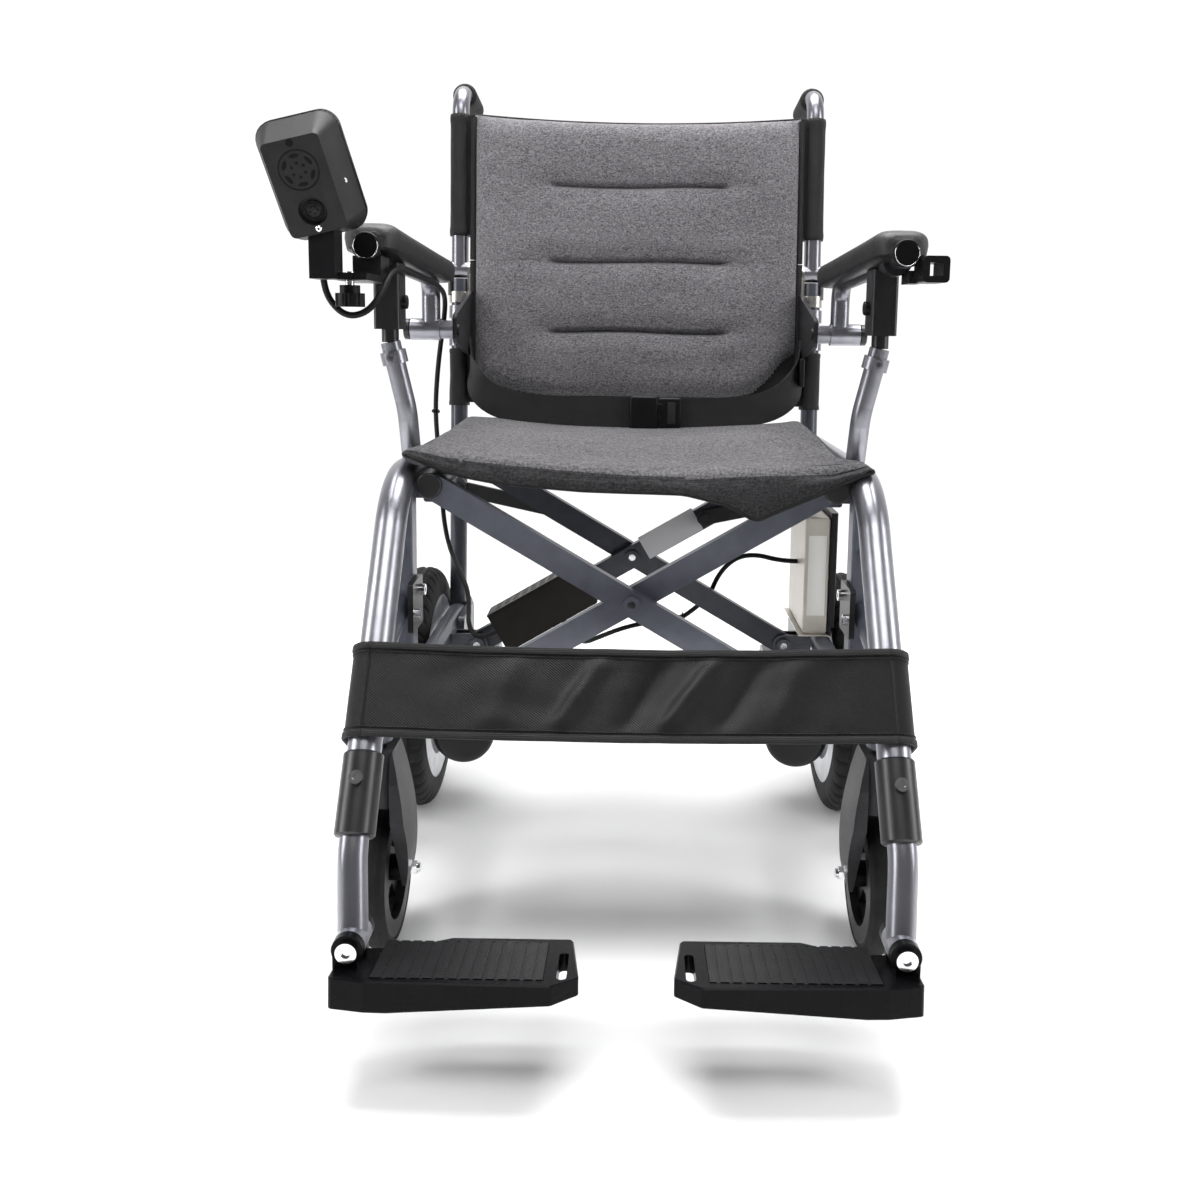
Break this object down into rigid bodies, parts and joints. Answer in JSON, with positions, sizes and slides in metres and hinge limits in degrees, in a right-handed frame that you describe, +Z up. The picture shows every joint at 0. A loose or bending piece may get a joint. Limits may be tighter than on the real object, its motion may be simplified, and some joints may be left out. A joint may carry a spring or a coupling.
{
  "type": "power wheelchair",
  "caption": "Folding power wheelchair with cross braces, hub-side drive motors, swivelling front casters, flip-up armrests and a joystick controller.",
  "frame": {"origin": "on the floor, in the mid plane between the two side frames", "axes": "+Z up, -Y the way the chair faces, +X to the user's left"},
  "size_m": [0.6174, 0.8309, 0.9368],
  "materials": {
    "frame_silver": "metallic silver-grey powder coat",
    "frame_slate": "slate-grey satin coat",
    "arm_slate": "slate-grey satin coat",
    "post_dark": "dark grey satin coat",
    "bracket_dark": "dark satin coat with bright bolts",
    "black_metal": "black satin coat",
    "rim_silver": "cast and machined",
    "rim_black": "black with a bright ring",
    "chrome_steel": "polished",
    "tyre_black": "moulded rubber tread",
    "rubber_black": "soft moulded rubber",
    "fork_grey": "textured moulding",
    "footplate_black": "satin moulding with a ribbed grip",
    "black_plastic": "satin moulding",
    "controller_black": "dark perforated cover",
    "gloss_black": "glossy rim over a satin belly",
    "button_plastic": "satin buttons",
    "battery_shell": "champagne anodised",
    "armrest_leather": "grained polyurethane skin",
    "seat_fabric": "heather grey melange with black binding",
    "strap_nylon": "black nylon twill",
    "webbing_black": "black webbing",
    "cable_black": "black sheath"
  },
  "bodies": {
    "frame_right": {"side_tube_right": "frame_silver", "lower_frame_right": "frame_slate", "caster_housing_right": "frame_slate", "frame_brackets_right": "bracket_dark", "rear_post_right": "post_dark", "armrest_gusset_right": "black_metal", "armrest_support_right": "frame_silver", "leg_rest_right": "frame_silver", "drive_motor_right": "black_metal", "back_pad_lower": "seat_fabric", "calf_strap": "strap_nylon", "seat_belt": "webbing_black", "harness": "cable_black"},
    "frame_left": {"side_tube_left": "frame_silver", "lower_frame_left": "frame_slate", "caster_housing_left": "frame_slate", "frame_brackets_left": "bracket_dark", "rear_post_left": "post_dark", "armrest_gusset_left": "black_metal", "armrest_support_left": "frame_silver", "leg_rest_left": "frame_silver", "drive_motor_left": "black_metal", "battery": "battery_shell"},
    "cross_a": {"cross_arms_a": "arm_slate", "controller_box": "controller_black"},
    "cross_b": {"cross_arms_b": "arm_slate"},
    "seat": {"seat_cushion": "seat_fabric"},
    "side_link_right": {"side_link_right": "black_metal"},
    "footplate_right": {"footplate_right": "footplate_black"},
    "armrest_right": {"armrest_tube_right": "black_metal", "armrest_pad_right": "armrest_leather", "joystick_housing": "gloss_black", "joystick_lead": "cable_black"},
    "latch_right": {"latch_button_right": "black_plastic"},
    "fork_right": {"caster_fork_right": "fork_grey"},
    "caster_right": {"caster_rim_right": "rim_black", "caster_tyre_right": "tyre_black"},
    "drive_right": {"drive_rim_right": "rim_silver", "drive_tyre_right": "tyre_black"},
    "back_right": {"back_cane_right": "frame_silver", "back_pad_upper": "seat_fabric"},
    "side_link_left": {"side_link_left": "black_metal"},
    "footplate_left": {"footplate_left": "footplate_black"},
    "armrest_left": {"armrest_tube_left": "black_metal", "armrest_pad_left": "armrest_leather"},
    "latch_left": {"latch_button_left": "black_plastic"},
    "fork_left": {"caster_fork_left": "fork_grey"},
    "caster_left": {"caster_rim_left": "rim_black", "caster_tyre_left": "tyre_black"},
    "drive_left": {"drive_rim_left": "rim_silver", "drive_tyre_left": "tyre_black"},
    "back_left": {"back_cane_left": "frame_silver"},
    "stick_gimbal": {"joystick_gimbal": "chrome_steel"},
    "stick_lever": {"joystick_lever": "rubber_black"},
    "power_key": {"power_button": "button_plastic"},
    "horn_key": {"horn_button": "button_plastic"},
    "speed_key": {"speed_rocker": "button_plastic"},
    "knob": {"bracket_knob": "black_plastic"}
  },
  "joints": [
    {"name": "fold", "type": "hinge", "parent": "frame_right", "child": "cross_a", "pos_m": [-0.188, 0, 0.231], "axis": [0, -1, 0], "range_deg": [0, 44], "deforming": ["seat_cushion", "back_pad_lower", "back_pad_upper", "calf_strap", "seat_belt", "harness"]},
    {"name": "cross_scissor", "type": "hinge", "parent": "cross_a", "child": "cross_b", "pos_m": [0, 0, 0.34139], "axis": [0, -1, 0], "range_deg": [-88, 0]},
    {"name": "frame_left_pivot", "type": "hinge", "parent": "cross_b", "child": "frame_left", "pos_m": [0.188, 0, 0.231], "axis": [0, -1, 0], "range_deg": [0, 44]},
    {"name": "seat_pivot", "type": "hinge", "parent": "cross_b", "child": "seat", "pos_m": [-0.202, 0, 0.46], "axis": [0, -1, 0], "range_deg": [0, 44]},
    {"name": "link_right", "type": "hinge", "parent": "frame_right", "child": "side_link_right", "pos_m": [-0.215, 0, 0.4193], "axis": [0, -1, 0], "range_deg": [0, 75.2]},
    {"name": "footplate_flip_right", "type": "hinge", "parent": "frame_right", "child": "footplate_right", "pos_m": [-0.226, -0.362, 0.1165], "axis": [0, -1, 0], "range_deg": [0, 85.9]},
    {"name": "link_left", "type": "hinge", "parent": "frame_left", "child": "side_link_left", "pos_m": [0.215, 0, 0.4193], "axis": [0, 1, 0], "range_deg": [0, 75.2]},
    {"name": "footplate_flip_left", "type": "hinge", "parent": "frame_left", "child": "footplate_left", "pos_m": [0.226, -0.362, 0.1165], "axis": [0, 1, 0], "range_deg": [0, 85.9]},
    {"name": "back_fold_right", "type": "hinge", "parent": "frame_right", "child": "back_right", "pos_m": [-0.232, 0.29144, 0.69], "axis": [-1, 0, 0], "range_deg": [0, 89], "deforming": ["back_pad_upper", "back_pad_lower"]},
    {"name": "back_fold_left", "type": "hinge", "parent": "frame_left", "child": "back_left", "pos_m": [0.232, 0.29144, 0.69], "axis": [-1, 0, 0], "range_deg": [0, 89]},
    {"name": "armrest_flip_right", "type": "hinge", "parent": "frame_right", "child": "armrest_right", "pos_m": [-0.246, 0.15, 0.612], "axis": [-1, 0, 0], "range_deg": [0, 90], "deforming": ["joystick_lead", "harness"]},
    {"name": "latch_press_right", "type": "slide", "parent": "frame_right", "child": "latch_right", "axis": [-1, 0, 0], "range_m": [0, 0.003], "stiffness_N_per_m": 600, "springref_m": -0.002},
    {"name": "caster_swivel_right", "type": "hinge", "parent": "frame_right", "child": "fork_right", "pos_m": [-0.243, -0.197, 0.25], "axis": [0, 0, 1], "continuous": true},
    {"name": "caster_spin_right", "type": "hinge", "parent": "fork_right", "child": "caster_right", "pos_m": [-0.243, -0.157, 0.077], "axis": [1, 0, 0], "continuous": true},
    {"name": "drive_spin_right", "type": "hinge", "parent": "frame_right", "child": "drive_right", "pos_m": [-0.27, 0.2, 0.153], "axis": [1, 0, 0], "continuous": true},
    {"name": "armrest_flip_left", "type": "hinge", "parent": "frame_left", "child": "armrest_left", "pos_m": [0.246, 0.15, 0.612], "axis": [-1, 0, 0], "range_deg": [0, 90]},
    {"name": "latch_press_left", "type": "slide", "parent": "frame_left", "child": "latch_left", "axis": [1, 0, 0], "range_m": [0, 0.003], "stiffness_N_per_m": 600, "springref_m": -0.002},
    {"name": "caster_swivel_left", "type": "hinge", "parent": "frame_left", "child": "fork_left", "pos_m": [0.243, -0.197, 0.25], "axis": [0, 0, 1], "continuous": true},
    {"name": "caster_spin_left", "type": "hinge", "parent": "fork_left", "child": "caster_left", "pos_m": [0.243, -0.157, 0.077], "axis": [1, 0, 0], "continuous": true},
    {"name": "drive_spin_left", "type": "hinge", "parent": "frame_left", "child": "drive_left", "pos_m": [0.27, 0.2, 0.153], "axis": [1, 0, 0], "continuous": true},
    {"name": "joystick_roll", "type": "hinge", "parent": "armrest_right", "child": "stick_gimbal", "pos_m": [-0.27583, -0.2277, 0.72372], "axis": [0.9724, 0, 0.2334], "range_deg": [-18, 18], "stiffness_Nm_per_rad": 0.5},
    {"name": "joystick_pitch", "type": "hinge", "parent": "stick_gimbal", "child": "stick_lever", "pos_m": [-0.27583, -0.2277, 0.72372], "axis": [0.2194, 0.342, -0.9137], "range_deg": [-18, 18], "stiffness_Nm_per_rad": 0.5},
    {"name": "power_press", "type": "slide", "parent": "armrest_right", "child": "power_key", "axis": [0.0798, -0.9397, -0.3326], "range_m": [0, 0.002], "stiffness_N_per_m": 400, "springref_m": -0.001},
    {"name": "horn_press", "type": "slide", "parent": "armrest_right", "child": "horn_key", "axis": [0.0798, -0.9397, -0.3326], "range_m": [0, 0.002], "stiffness_N_per_m": 400, "springref_m": -0.001},
    {"name": "speed_rock", "type": "hinge", "parent": "armrest_right", "child": "speed_key", "pos_m": [-0.28863, -0.23489, 0.77705], "axis": [0.9724, 0, 0.2334], "range_deg": [-6, 6], "stiffness_Nm_per_rad": 0.2},
    {"name": "knob_turn", "type": "hinge", "parent": "armrest_right", "child": "knob", "pos_m": [-0.255, -0.21, 0.645], "axis": [0, 0, 1], "continuous": true}
  ],
  "couplings": [
    {"joint": "cross_scissor", "follows": "fold", "ratio": -2},
    {"joint": "frame_left_pivot", "follows": "fold", "ratio": 1},
    {"joint": "seat_pivot", "follows": "fold", "ratio": 1},
    {"joint": "link_right", "follows": "fold", "ratio": 1.707},
    {"joint": "footplate_flip_right", "follows": "fold", "ratio": 1.95},
    {"joint": "link_left", "follows": "fold", "ratio": 1.707},
    {"joint": "footplate_flip_left", "follows": "fold", "ratio": 1.95},
    {"joint": "back_fold_left", "follows": "back_fold_right", "ratio": 1}
  ]
}
